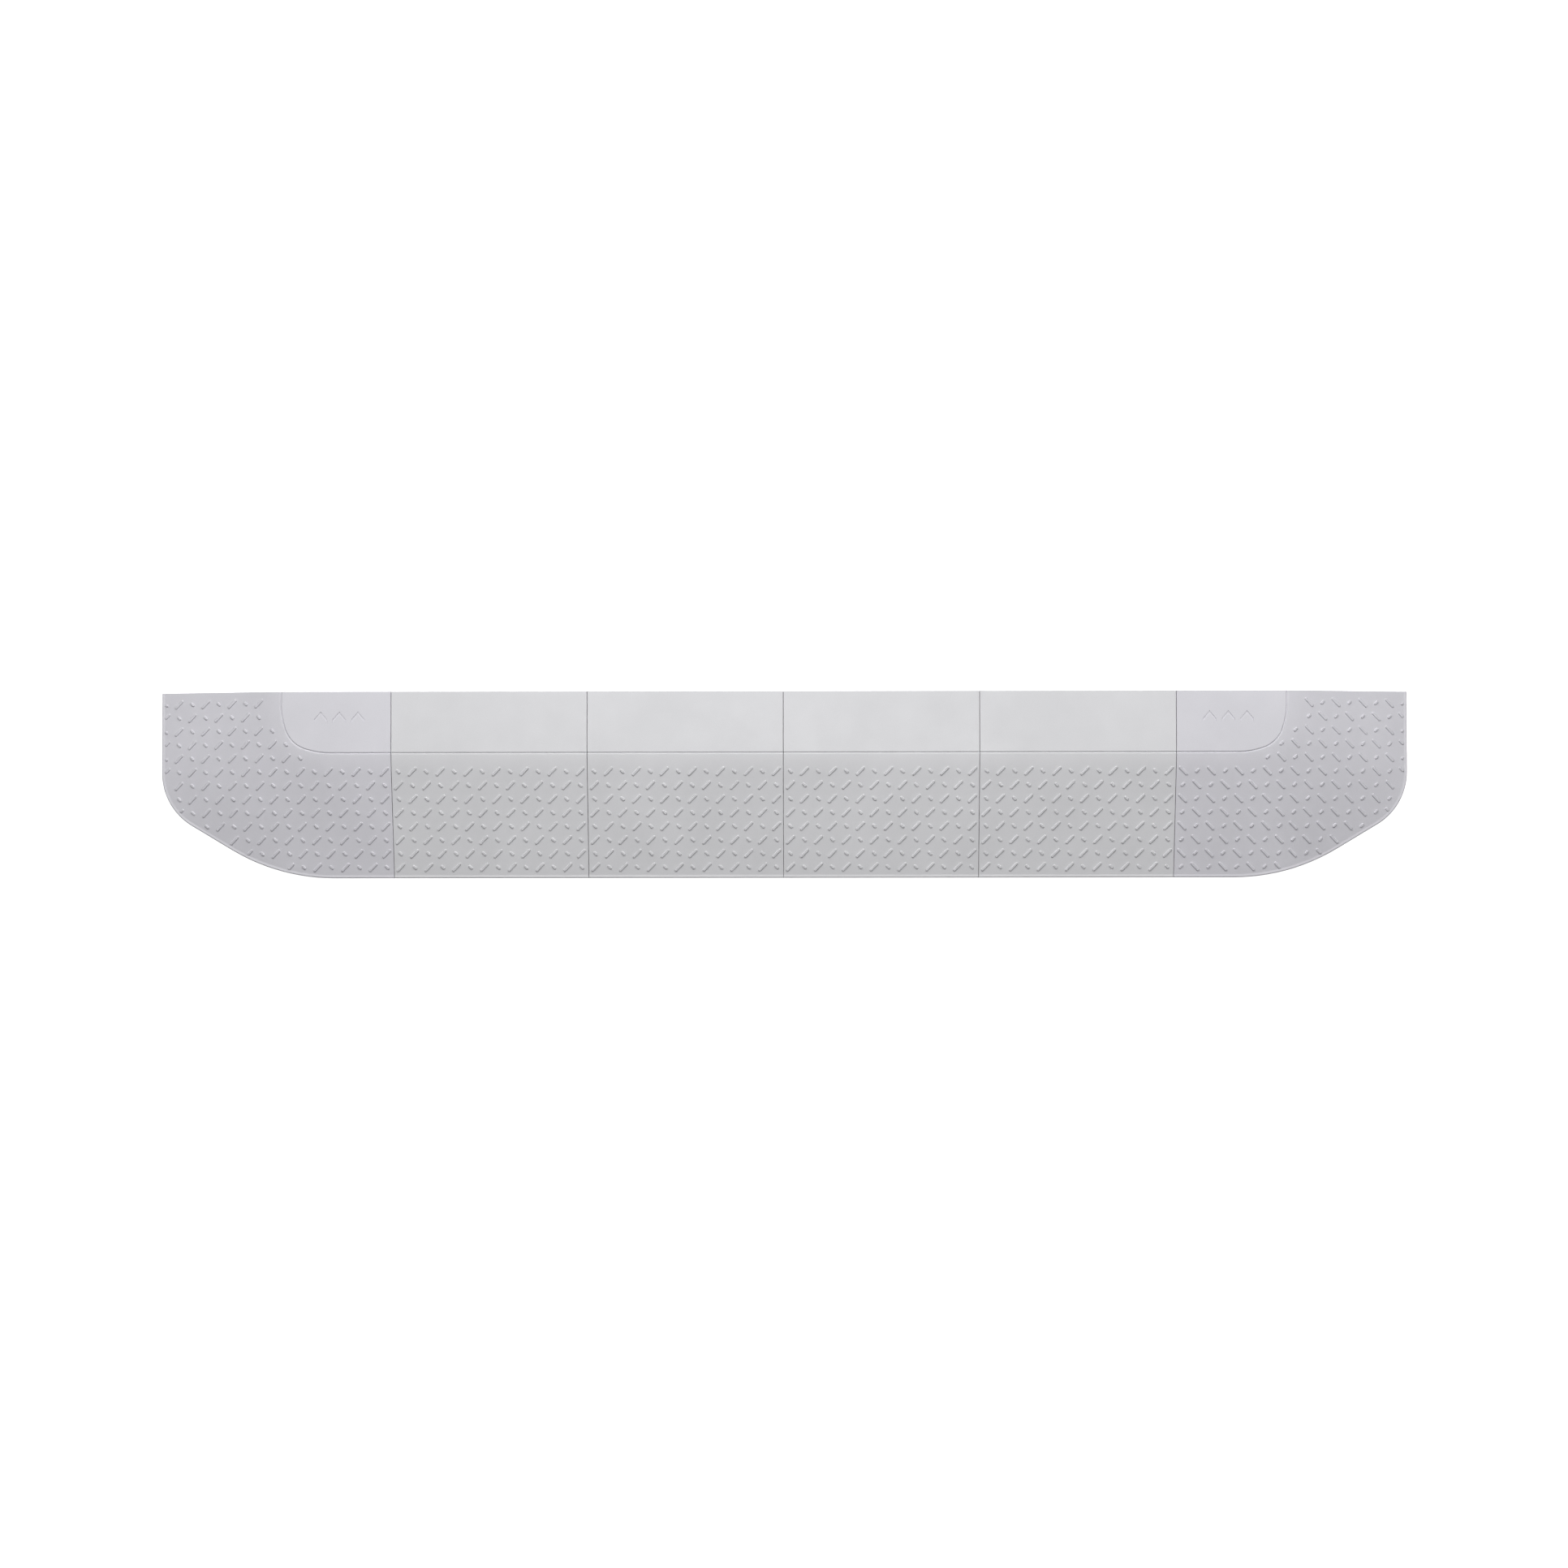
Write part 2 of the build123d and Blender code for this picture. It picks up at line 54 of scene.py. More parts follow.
# Sizes read from the frame
LEFT_LOW, LEFT_HIGH = (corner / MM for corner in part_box("left_end_shell"))
MIDDLE_LOW, MIDDLE_HIGH = (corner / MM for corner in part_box("middle_1_shell"))
NEXT_LOW, _ = (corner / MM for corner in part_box("middle_2_shell"))
CLIP_LOW, CLIP_HIGH = (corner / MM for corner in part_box("seam_1_rear_clip"))
REAR, FRONT = LEFT_HIGH.y, LEFT_LOW.y
RIM, TOP = MIDDLE_LOW.z, MIDDLE_HIGH.z
OUTER_X = LEFT_LOW.x
MODULE = NEXT_LOW.x - MIDDLE_LOW.x
SEAM_GAP = NEXT_LOW.x - MIDDLE_HIGH.x
END_SEAM_X = LEFT_HIGH.x + SEAM_GAP / 2
MIDDLE_COUNT = 4

# Shape of the top
DEPTH = REAR - FRONT
PLATFORM_DEPTH = 49.0
END_PLATFORM = 88.0
CREASE = REAR - PLATFORM_DEPTH
LIP = 2.0
LIP_TOP = 2.0
SLOPE_RUN = CREASE - FRONT - LIP
SLOPE_FALL = (TOP - LIP_TOP) / SLOPE_RUN
ROLL = 16.0
ROLL_TILT = 0.128
ROLL_STATIONS = (2.6, 4.0, 6.0, 8.0, 10.3, 13.0, ROLL)
TOE = 1.0
TOE_STEPS = 4
SEAM_ROUND = 0.4
SEAM_CLEARANCE = 0.01
SEAM_FOOT = SEAM_GAP / 2 - SEAM_CLEARANCE
REAR_ROUND = 0.4
LIP_ROUND = 1.1
LIP_BEAD = 0.05
ROUND_STEPS = 4
GROOVE = ((-0.45, 0.0), (-0.2, 0.12), (0.26, 0.72), (0.4, 0.8), (0.58, 0.73), (1.15, 0.1), (1.45, 0.0))

# Plan outline of an end module, and the corner of its platform
DIAGONAL_ANGLE = 31.0
DIAGONAL = 38.0
CORNER_RADIUS = 50.0
FRONT_RADIUS = 162.0
CREASE_SOFT = 60.0
CREASE_TIGHT = 24.0
SOFT_TURN = 20.0
APEX_TURN = 2.0
DEGREES_PER_STATION = 2.5
SIDE_COUNT = 6
DIAGONAL_COUNT = 6
FRONT_COUNT = 4
SLOPE_ROWS = 8

# Tread bars
PITCH = 11.25
MIDDLE_COLUMNS = round(MODULE / PITCH)
ROW_PITCH = PITCH * math.cos(math.atan(SLOPE_FALL))
FIRST_ROW = CREASE - 15.35
MIDDLE_ROWS = 8
EXTRA_END_ROWS = 5
END_COLUMNS = 17
FIRST_FREE_COLUMN = 10
STAIRCASE_COLUMN = 6
BAR_WIDTH = 2.3
BAR_HEIGHT = 0.9
LONG_BAR = 9.5
SHORT_BAR = 4.3
BAR_CROWN = 0.7
BAR_FLARE = 0.12
BAR_DRAFT = 0.06
BAR_MARGIN = LIP + 0.6
TRIM_SLACK = 0.2
MOST_TRIMMED = 0.97
BAR_RINGS = 6
BAR_ARC_STEPS = 8

# Direction mark
MARK_PITCH = 15.0
MARK_WIDTH = 10.5
MARK_RISE = 6.2
MARK_STROKE = 2.4
MARK_DEPTH = 0.5
MARK_FLARE = 0.03
MARK_FROM_SEAM = 41.5
MARK_Y = CREASE + 28.5

# Hollow underside, and how far cutting solids reach past what they cut
WALL = 2.5
ROOF_DROP = WALL * math.hypot(1, SLOPE_FALL)
SOLID_EDGE = 17.0
RIB = 2.0
RIB_PITCH = MODULE / 5
CROSS_RIBS = (40.0, 5.0, -30.0)
CELL_CORNER = 1.6
MOUTH_FLARE = 0.3
MOUTH_DEPTH = 0.5
DRAFT = 0.25
DEEP = 2 * TOP
CELL_INSET = 1.0
CUT_PAST = 1.0
BLOCK_PAST = 5.0
SLIVER = 0.002

# Clips, feet and grips
CLIP_NECK = 8.0
CLIP_END = 16.0
CLIP_ROUND = 1.0
CLIP_EDGE = 0.6
CLIP_PLAY = 0.3
CLIP_PRESS = 0.02
CLIP_ARC_STEPS = 5
PRISE_WIDTH = 2.0
PRISE_LENGTH = 6.0
PRISE_CORNER = 0.8
PRISE_DEPTH = 1.5
BLOCK_DEPTH = 17.5
BLOCK_WIDTH = 22.0
BLOCK_CORNER = 1.0
BOSS_RADIUS = 13.0
ROUND_SIDES = 60
FOOT_ROOM = 1.5
FOOT_SIDES = 48
FOOT_EDGE = 0.5
FOOT_TOP_INSET = 0.4
FOOT_TOP_DROP = 0.3
FOOT_GROOVES = (0.74, 0.42)
FOOT_GROOVE_MOUTH = 0.8
FOOT_GROOVE_ROOT = 0.5
FOOT_GROOVE_DEPTH = 0.5
GRIP_ROOM = 0.1
GRIP_CORNER = 0.4
GRIP_EDGE = 0.35
TOOTH_PITCH = 3.0
TOOTH_STEPS = ((0.08, 0.0), (0.62, 0.0), (0.72, 0.3), (0.98, 0.3))

# Materials: linear colours, and what the noise does to them
MIDDLE_COLOUR = (0.64, 0.64, 0.656)
END_COLOUR = (0.625, 0.618, 0.656)
CLIP_COLOUR = (0.2, 0.205, 0.215)
RUBBER_COLOUR = (0.035, 0.035, 0.038)
NOISE_LOW = 0.3
NOISE_HIGH = 0.7
CLOUD_DARK = 0.965
CLOUD_LIGHT = 1.02
RUBBER_LIGHT = 1.3
SPECK_SHADE = 0.955
SHARP_ANGLE = 38
FLAT_WEIGHT = 90

# Stage, light and camera
FLOOR_REACH = 8000.0
FLOOR_SEEN = {"albedo": 0.97, "glow": 0.7}
FLOOR_THROWN = {"albedo": 0.3, "glow": 0.3}
SURROUND_LIGHT = 0.02
BACKDROP = 0.7
STRIP_PLACE = (0, 0.8, 0.9)
STRIP_SIZE = (2.4, 0.35)
STRIP_POWER = 17.1
OVERHEAD_PLACE = (0, 0, 3.2)
OVERHEAD_SIZE = (1.6, 1.0)
OVERHEAD_POWER = 43
CAMERA_PLACE = (0.0174, -0.0652, 2.3148)
CAMERA_TILT = -1.637
CAMERA_LEAN = -0.4218
CAMERA_ROLL = 0.0797
SENSOR_WIDTH = 36.0
FOCAL_LENGTH = 65.652


def make_object(name, bm):
    """A new object from a bmesh in millimetres."""
    bmesh.ops.recalc_face_normals(bm, faces=bm.faces)
    bmesh.ops.scale(bm, vec=(MM, MM, MM), verts=bm.verts)
    mesh = bpy.data.meshes.new(name)
    bm.to_mesh(mesh)
    bm.free()
    piece = bpy.data.objects.new(name, mesh)
    bpy.context.scene.collection.objects.link(piece)
    return piece


def combine(base, operation, *tools):
    """Applies booleans to base in turn and removes the tools."""
    for tool in tools:
        step = base.modifiers.new("step", "BOOLEAN")
        step.operation = operation
        step.solver = "MANIFOLD"
        step.object = tool
        graph = bpy.context.evaluated_depsgraph_get()
        result = bpy.data.meshes.new_from_object(base.evaluated_get(graph))
        base.modifiers.clear()
        old = base.data
        base.data = result
        bpy.data.meshes.remove(old)
        bpy.data.meshes.remove(tool.data)
    return base


def without_slivers(piece):
    """Welds the tiny edges and dissolves the faces of no area that booleans leave."""
    bm = bmesh.new()
    bm.from_mesh(piece.data)
    bmesh.ops.remove_doubles(bm, verts=bm.verts, dist=SLIVER * MM)
    bmesh.ops.dissolve_degenerate(bm, edges=bm.edges, dist=SLIVER * MM)
    bm.to_mesh(piece.data)
    bm.free()
    return piece


def bridge(bm, rings, closed=True):
    """Quads between rings of vertices that have the same count."""
    for lower, upper in zip(rings, rings[1:]):
        count = len(lower)
        for i in range(count if closed else count - 1):
            j = (i + 1) % count
            bm.faces.new((lower[i], lower[j], upper[j], upper[i]))


def stack(bm, layers):
    """A closed solid from layers of 3-D points, capped at both ends."""
    rings = [[bm.verts.new(point) for point in layer] for layer in layers]
    bridge(bm, rings)
    bm.faces.new(list(reversed(rings[0])))
    bm.faces.new(rings[-1])


def arc_points(centre, radius, start, sweep, steps):
    """Points of an arc, angles in degrees."""
    angles = [math.radians(start + sweep * k / steps) for k in range(steps + 1)]
    return [(centre[0] + radius * math.cos(a), centre[1] + radius * math.sin(a)) for a in angles]


def circle(centre, radius, count):
    """Points of a full circle."""
    step = 360 / count
    return arc_points(centre, radius, 0, 360 - step, count - 1)


def rounded_rectangle(x_low, x_high, y_low, y_high, radius):
    """Corner points of a rectangle with round corners, anticlockwise."""
    corners = (
        (x_high - radius, y_high - radius, 0),
        (x_low + radius, y_high - radius, 90),
        (x_low + radius, y_low + radius, 180),
        (x_high - radius, y_low + radius, 270),
    )
    return [p for x, y, start in corners for p in arc_points((x, y), radius, start, 90, ROUND_STEPS)]


def quarter(radius):
    """Pairs of reach and drop round a quarter circle, from flat to upright."""
    angles = [math.pi / 2 * k / ROUND_STEPS for k in range(ROUND_STEPS + 1)]
    return [(radius * math.sin(a), radius * (1 - math.cos(a))) for a in angles]


# ---------------------------------------------------------------------- the shells' tops


def top_height(distance, run):
    """Height at a distance from the platform's edge.

    The slope rolls over, runs straight and eases into the lip.
    """
    if distance <= 0:
        return TOP
    if distance >= run:
        return LIP_TOP
    steepness = (TOP - LIP_TOP + ROLL_TILT * ROLL / 2) / (run - TOE / 2)
    rolled = min(distance, ROLL)
    eased = max(0, distance - (run - TOE))
    fall = steepness * (distance - eased**2 / (2 * TOE))
    return TOP - fall + ROLL_TILT * (rolled - rolled**2 / (2 * ROLL))


def toe_stations(run):
    """Distances across the toe of the slope."""
    return [run - TOE + TOE * k / TOE_STEPS for k in range(TOE_STEPS + 1)]


def lip_edge():
    """Pairs of reach past the slope and height, over the lip and its rounded outer edge."""
    return [(LIP - LIP_ROUND + reach, LIP_TOP + LIP_BEAD - drop) for reach, drop in quarter(LIP_ROUND)]


def middle_profile(detailed):
    """Section of a middle module as (y, z), from the rear foot over the top to the front foot."""
    rows = [CREASE - FIRST_ROW + (row - 0.5) * ROW_PITCH for row in range(1, MIDDLE_ROWS)]
    distances = [*ROLL_STATIONS, *rows, *toe_stations(SLOPE_RUN)]
    points = [(REAR, RIM)]
    points += [(REAR - REAR_ROUND + reach, TOP - drop) for reach, drop in reversed(quarter(REAR_ROUND))]
    if detailed:
        points += [(CREASE - reach, top_height(reach, SLOPE_RUN) - depth) for reach, depth in GROOVE]
    else:
        points.append((CREASE, TOP))
    points += [(CREASE - distance, top_height(distance, SLOPE_RUN)) for distance in distances]
    points += [(FRONT + LIP - reach, height) for reach, height in lip_edge()]
    points.append((FRONT, RIM))
    return points


def column_edges():
    """Places between the bar columns of a middle module that is centred on x = 0."""
    return [(column - MIDDLE_COLUMNS / 2) * PITCH for column in range(1, MIDDLE_COLUMNS)]


def middle_body(detailed=True):
    """A middle module without bars or hollow, centred on x = 0.

    Its seam faces lean out at the foot, which all but closes the gap there.
    """
    half = (MODULE - SEAM_GAP) / 2
    ends = [(half - SEAM_ROUND + reach, drop if detailed else 0) for reach, drop in quarter(SEAM_ROUND)]
    columns = [(x, 0) for x in column_edges()] if detailed else []
    stations = [(-x, drop) for x, drop in reversed(ends)] + columns + ends
    profile = middle_profile(detailed)
    bm = bmesh.new()
    rings = []
    for x, drop in stations:
        lowered = [(x, y, z if z == RIM else max(z - drop, RIM + drop / 10)) for y, z in profile]
        rings.append([bm.verts.new(point) for point in lowered])
    for ring, side in ((rings[0], -1), (rings[-1], 1)):
        for foot in (ring[0], ring[-1]):
            foot.co.x += side * SEAM_FOOT
    bridge(bm, rings)
    bm.faces.new(rings[0])
    bm.faces.new(rings[-1])
    return make_object("middle_body", bm)


def trace(start, steps):
    """Points and outward normals of a path that starts along -Y.

    A step is (length, count) for a straight stretch or (radius, turn, count) for an arc.
    """
    x, y = start
    heading = -90.0
    stations = []
    for step in steps:
        if len(step) == 3:
            radius, turn, count = step
            to_centre = math.radians(heading + 90)
            centre = (x + radius * math.cos(to_centre), y + radius * math.sin(to_centre))
            for k in range(1, count + 1):
                away = math.radians(heading - 90 + turn * k / count)
                normal = (math.cos(away), math.sin(away))
                stations.append((centre[0] + radius * normal[0], centre[1] + radius * normal[1], normal))
            heading += turn
        else:
            length, count = step
            along = math.radians(heading)
            away = math.radians(heading - 90)
            normal = (math.cos(away), math.sin(away))
            for k in range(1, count + 1):
                reach = length * k / count
                stations.append((x + reach * math.cos(along), y + reach * math.sin(along), normal))
        x, y = stations[-1][:2]
    return stations


def turn_count(turn):
    """Stations along an arc."""
    return max(1, round(turn / DEGREES_PER_STATION))


def outline_stations(inset, side_trim, seam_trim):
    """The left end module's outline moved in by inset.

    It leaves out the first side_trim and the last seam_trim millimetres.
    """
    diagonal = math.radians(DIAGONAL_ANGLE)
    corner_turn = 90 - DIAGONAL_ANGLE
    side = DEPTH - CORNER_RADIUS * math.cos(diagonal) - DIAGONAL * math.sin(diagonal)
    side -= FRONT_RADIUS * (1 - math.cos(diagonal))
    front = END_SEAM_X - OUTER_X - CORNER_RADIUS * (1 - math.sin(diagonal)) - DIAGONAL * math.cos(diagonal)
    front -= FRONT_RADIUS * math.sin(diagonal)
    corner = CORNER_RADIUS - inset
    nose = FRONT_RADIUS - inset
    start = (OUTER_X + inset, REAR - side_trim)
    steps = [
        (side - side_trim, SIDE_COUNT),
        (corner, SOFT_TURN, turn_count(SOFT_TURN)),
        (corner, corner_turn - SOFT_TURN, turn_count(corner_turn - SOFT_TURN)),
        (DIAGONAL, DIAGONAL_COUNT),
        (nose, DIAGONAL_ANGLE - SOFT_TURN, turn_count(DIAGONAL_ANGLE - SOFT_TURN)),
        (nose, SOFT_TURN, turn_count(SOFT_TURN)),
        (front - seam_trim, FRONT_COUNT),
    ]
    first = (*start, (-1.0, 0.0))
    return [first] + trace(start, steps)


def crease_stations(side_trim, seam_trim):
    """The platform's edge on the left end module, station for station with its outline."""
    soft = math.radians(SOFT_TURN)
    corner = CREASE_SOFT * (1 - math.cos(soft) + math.sin(soft))
    corner += CREASE_TIGHT * (math.cos(soft) - math.sin(soft))
    tight_side = 90 - DIAGONAL_ANGLE - SOFT_TURN
    tight_front = DIAGONAL_ANGLE - SOFT_TURN
    start = (END_SEAM_X - END_PLATFORM, REAR - side_trim)
    steps = [
        (PLATFORM_DEPTH - corner - side_trim, SIDE_COUNT),
        (CREASE_SOFT, SOFT_TURN, turn_count(SOFT_TURN)),
        (CREASE_TIGHT, tight_side - APEX_TURN / 2, turn_count(tight_side)),
        (CREASE_TIGHT, APEX_TURN, DIAGONAL_COUNT),
        (CREASE_TIGHT, tight_front - APEX_TURN / 2, turn_count(tight_front)),
        (CREASE_SOFT, SOFT_TURN, turn_count(SOFT_TURN)),
        (END_PLATFORM - corner - seam_trim, FRONT_COUNT),
    ]
    first = (*start, (-1.0, 0.0))
    return [first] + trace(start, steps)


def end_section(crease, lip, drop, detailed):
    """Points of one section of an end module, from the platform's edge out to the rim."""
    cx, cy, (nx, ny) = crease
    lx, ly, (mx, my) = lip
    run = math.dist((cx, cy), (lx, ly))
    points = []
    for reach, depth in GROOVE:
        level = top_height(reach, run) - (depth if detailed else 0)
        points.append((cx + nx * reach, cy + ny * reach, level - drop))
    bx, by = points[-1][:2]
    groove_end = GROOVE[-1][0]
    straight = run - TOE - ROLL
    rows = [ROLL + straight * row / SLOPE_ROWS for row in range(1, SLOPE_ROWS)]
    for distance in (*ROLL_STATIONS, *rows, *toe_stations(run)):
        share = (distance - groove_end) / (run - groove_end)
        points.append((bx + (lx - bx) * share, by + (ly - by) * share, top_height(distance, run) - drop))
    for reach, height in lip_edge():
        points.append((lx + mx * reach, ly + my * reach, max(height - drop, RIM + RIM / 10)))
    points.append((lx + mx * LIP, ly + my * LIP, RIM))
    return points


def end_body(detailed=True):
    """The left end module without bars or hollow."""
    seam_x = END_SEAM_X - SEAM_GAP / 2
    rear_steps = quarter(REAR_ROUND)
    seam_steps = quarter(SEAM_ROUND)
    crease = crease_stations(REAR_ROUND, SEAM_GAP / 2 + SEAM_ROUND)
    lip = outline_stations(LIP, REAR_ROUND, SEAM_GAP / 2 + SEAM_ROUND)
    sections = []
    for reach, drop in reversed(rear_steps[1:]):
        moved = [(x, y + reach, normal) for x, y, normal in (crease[0], lip[0])]
        sections.append(end_section(*moved, drop if detailed else 0, detailed))
    sections += [end_section(inner, outer, 0, detailed) for inner, outer in zip(crease, lip)]
    for reach, drop in seam_steps[1:]:
        moved = [(x + reach, y, normal) for x, y, normal in (crease[-1], lip[-1])]
        sections.append(end_section(*moved, drop if detailed else 0, detailed))
    bm = bmesh.new()
    rings = [[bm.verts.new(point) for point in section] for section in sections]
    bridge(bm, rings, closed=False)
    edge = [ring[0] for ring in rings]
    corner = []
    for along, seam_drop in seam_steps:
        column = []
        for back, rear_drop in rear_steps:
            drop = max(seam_drop, rear_drop) if detailed else 0
            place = (seam_x - SEAM_ROUND + along, REAR - REAR_ROUND + back, TOP - drop)
            column.append(bm.verts.new(place))
        corner.append(column)
    last = len(edge) - 1
    steps = ROUND_STEPS
    for k in range(steps):
        bm.faces.new((edge[steps - k], edge[steps - k - 1], corner[0][k + 1], corner[0][k]))
        bm.faces.new((edge[last - steps + k], edge[last - steps + k + 1], corner[k + 1][0], corner[k][0]))
        for i in range(steps):
            bm.faces.new((corner[i][k], corner[i + 1][k], corner[i + 1][k + 1], corner[i][k + 1]))
    bm.faces.new(edge[steps:last - steps + 1] + [corner[0][0]])
    foot = bm.verts.new((seam_x + SEAM_FOOT, REAR, RIM))
    rims = [ring[-1] for ring in rings]
    rims[-1].co.x += SEAM_FOOT
    bm.faces.new(rims + [foot])
    bm.faces.new(list(reversed(rings[0])) + [column[-1] for column in corner] + [foot])
    bm.faces.new(list(reversed(rings[-1])) + corner[-1] + [foot])
    return make_object("end_body", bm)


# ---------------------------------------------------------------------- tread bars and mark


def edge_distance(x, y):
    """How far a point lies inside the left end module's outer edge."""
    diagonal = math.radians(DIAGONAL_ANGLE)
    along = (math.cos(diagonal), -math.sin(diagonal))
    inward = (math.sin(diagonal), math.cos(diagonal))
    nose_x = OUTER_X + CORNER_RADIUS * (1 - math.sin(diagonal))
    nose_x += DIAGONAL * along[0]
    nose_x += FRONT_RADIUS * inward[0]
    nose = (nose_x, FRONT + FRONT_RADIUS)
    end = [c - FRONT_RADIUS * n for c, n in zip(nose, inward)]
    start = [e - DIAGONAL * a for e, a in zip(end, along)]
    corner = [s + CORNER_RADIUS * n for s, n in zip(start, inward)]
    past = sum((p - s) * a for p, s, a in zip((x, y), start, along))
    if y > corner[1]:
        return x - OUTER_X
    if past < 0:
        return CORNER_RADIUS - math.dist((x, y), corner)
    if past < DIAGONAL:
        return sum((p - s) * n for p, s, n in zip((x, y), start, inward))
    if x < nose[0]:
        return FRONT_RADIUS - math.dist((x, y), nose)
    return y - FRONT


def bar_line(x, y, is_long):
    """End centres of a bar: long ones lean right and short ones lean left."""
    length = (LONG_BAR if is_long else SHORT_BAR) - BAR_WIDTH
    reach = length / 2 * math.sqrt(0.5)
    side = reach if is_long else -reach
    return (x - side, y - reach), (x + side, y + reach)


def trimmed(line):
    """The stretch of a bar's line that keeps the whole bar off the lip, or None."""
    needed = BAR_MARGIN + BAR_WIDTH / 2
    near, far = sorted(line, key=lambda point: edge_distance(*point))
    low, high = edge_distance(*near), edge_distance(*far)
    if high < needed - TRIM_SLACK:
        return None
    if low < needed:
        share = min(MOST_TRIMMED, (needed - low) / (high - low))
        near = tuple(a + share * (b - a) for a, b in zip(near, far))
    return near, far


def middle_bar_lines():
    """The bars of a middle module, centred on x = 0."""
    return [
        bar_line(-MODULE / 2 + (column + 0.5) * PITCH, FIRST_ROW - row * ROW_PITCH, (row + column) % 2 == 1)
        for row in range(MIDDLE_ROWS)
        for column in range(MIDDLE_COLUMNS)
    ]


def end_bar_lines():
    """The bars of the left end module, counted leftwards from its seam."""
    lines = []
    for row in range(-EXTRA_END_ROWS, MIDDLE_ROWS):
        first = 1 if row >= 0 else min(FIRST_FREE_COLUMN, STAIRCASE_COLUMN - row)
        for column in range(first, END_COLUMNS + 1):
            x = END_SEAM_X - (column - 0.5) * PITCH
            line = trimmed(bar_line(x, FIRST_ROW - row * ROW_PITCH, (row + column) % 2 == 1))
            if line:
                lines.append(line)
    return lines


def capsule(line, reach):
    """Outline of a bar at a distance from its centre line."""
    (ax, ay), (bx, by) = line
    angle = math.degrees(math.atan2(by - ay, bx - ax))
    head = arc_points((bx, by), reach, angle - 90, 180, BAR_ARC_STEPS)
    tail = arc_points((ax, ay), reach, angle + 90, 180, BAR_ARC_STEPS)
    return head + tail


def bar_section():
    """Rings of a bar as (distance from its centre line, height over the slope).

    A small flare at the foot leads up to a round shoulder.
    """
    half = BAR_WIDTH / 2
    shoulder = BAR_HEIGHT - BAR_CROWN
    rings = [(half + BAR_FLARE, -BAR_HEIGHT / 2), (half + BAR_FLARE, -BAR_FLARE / 4), (half, BAR_FLARE)]
    for k in range(BAR_RINGS + 1):
        angle = math.pi / 2 * k / BAR_RINGS
        reach = half - BAR_DRAFT - BAR_CROWN * (1 - math.cos(angle))
        rings.append((reach, shoulder + BAR_CROWN * math.sin(angle)))
    return rings


def bars(name, lines, height_at):
    """All bars of a module as one mesh of closed solids that follow its slope."""
    bm = bmesh.new()
    section = bar_section()
    for line in lines:
        layers = []
        for reach, height in section:
            layers.append([(x, y, height_at(x, y) + height) for x, y in capsule(line, reach)])
        stack(bm, layers)
    return make_object(name, bm)


def chevrons(centre_x):
    """The sunk direction mark as cutting solids."""
    bm = bmesh.new()
    half = MARK_WIDTH / 2
    outline = [
        (-half, -MARK_RISE / 2),
        (0, MARK_RISE / 2),
        (half, -MARK_RISE / 2),
        (half, -MARK_RISE / 2 - MARK_STROKE),
        (0, MARK_RISE / 2 - MARK_STROKE),
        (-half, -MARK_RISE / 2 - MARK_STROKE),
    ]
    for place in (-1, 0, 1):
        layers = []
        for level, grow in ((-MARK_DEPTH, 1), (0.0, 1 + MARK_FLARE), (MARK_DEPTH, 1 + 2 * MARK_FLARE)):
            layers.append([
                (centre_x + place * MARK_PITCH + x * grow, MARK_Y + MARK_STROKE / 2 + y * grow, TOP + level)
                for x, y in reversed(outline)
            ])
        stack(bm, layers)
    return make_object("chevrons", bm)


# ---------------------------------------------------------------------- the hollow underside


def cell_solid(bm, x_low, x_high, y_low, y_high):
    """One tapered rib bay with a flared mouth."""
    layers = []
    mouth = [(-CUT_PAST, MOUTH_FLARE), (RIM, MOUTH_FLARE), (RIM + MOUTH_DEPTH, 0.0)]
    for level, grow in (*mouth, (DEEP, -DRAFT)):
        outline = rounded_rectangle(x_low - grow, x_high + grow, y_low - grow, y_high + grow, CELL_CORNER)
        layers.append([(x, y, level) for x, y in outline])
    stack(bm, layers)


def cells(x_walls, y_walls):
    """Rib bays between two lists of wall places, each a (low face, high face) pair."""
    bm = bmesh.new()
    for left, right in zip(x_walls, x_walls[1:]):
        for low, high in zip(y_walls, y_walls[1:]):
            cell_solid(bm, left[1], right[0], low[1], high[0])
    return make_object("cells", bm)


def walls_at(low_edge, centres, high_edge):
    """Wall faces for cells(): two outer walls and ribs between them."""
    inner = [(c - RIB / 2, c + RIB / 2) for c in sorted(centres)]
    return [(low_edge, low_edge)] + inner + [(high_edge, high_edge)]


def upright(bm, outline, low, high):
    """A prism over an outline."""
    stack(bm, [[(x, y, low) for x, y in outline], [(x, y, high) for x, y in outline]])


def solids_in_hollow(foot_places, seams):
    """Foot bosses and clip blocks that stand in the hollow. A seam is (x, side the module lies on)."""
    bm = bmesh.new()
    for x, y in foot_places:
        upright(bm, circle((x, y), BOSS_RADIUS, ROUND_SIDES), -BLOCK_PAST, DEEP + BLOCK_PAST)
    for seam_x, side in seams:
        for y in CLIP_YS:
            ends = sorted((seam_x - side * CUT_PAST, seam_x + side * BLOCK_DEPTH))
            outline = rounded_rectangle(*ends, y - BLOCK_WIDTH / 2, y + BLOCK_WIDTH / 2, BLOCK_CORNER)
            upright(bm, outline, -BLOCK_PAST, DEEP + BLOCK_PAST)
    return make_object("solids_in_hollow", bm)


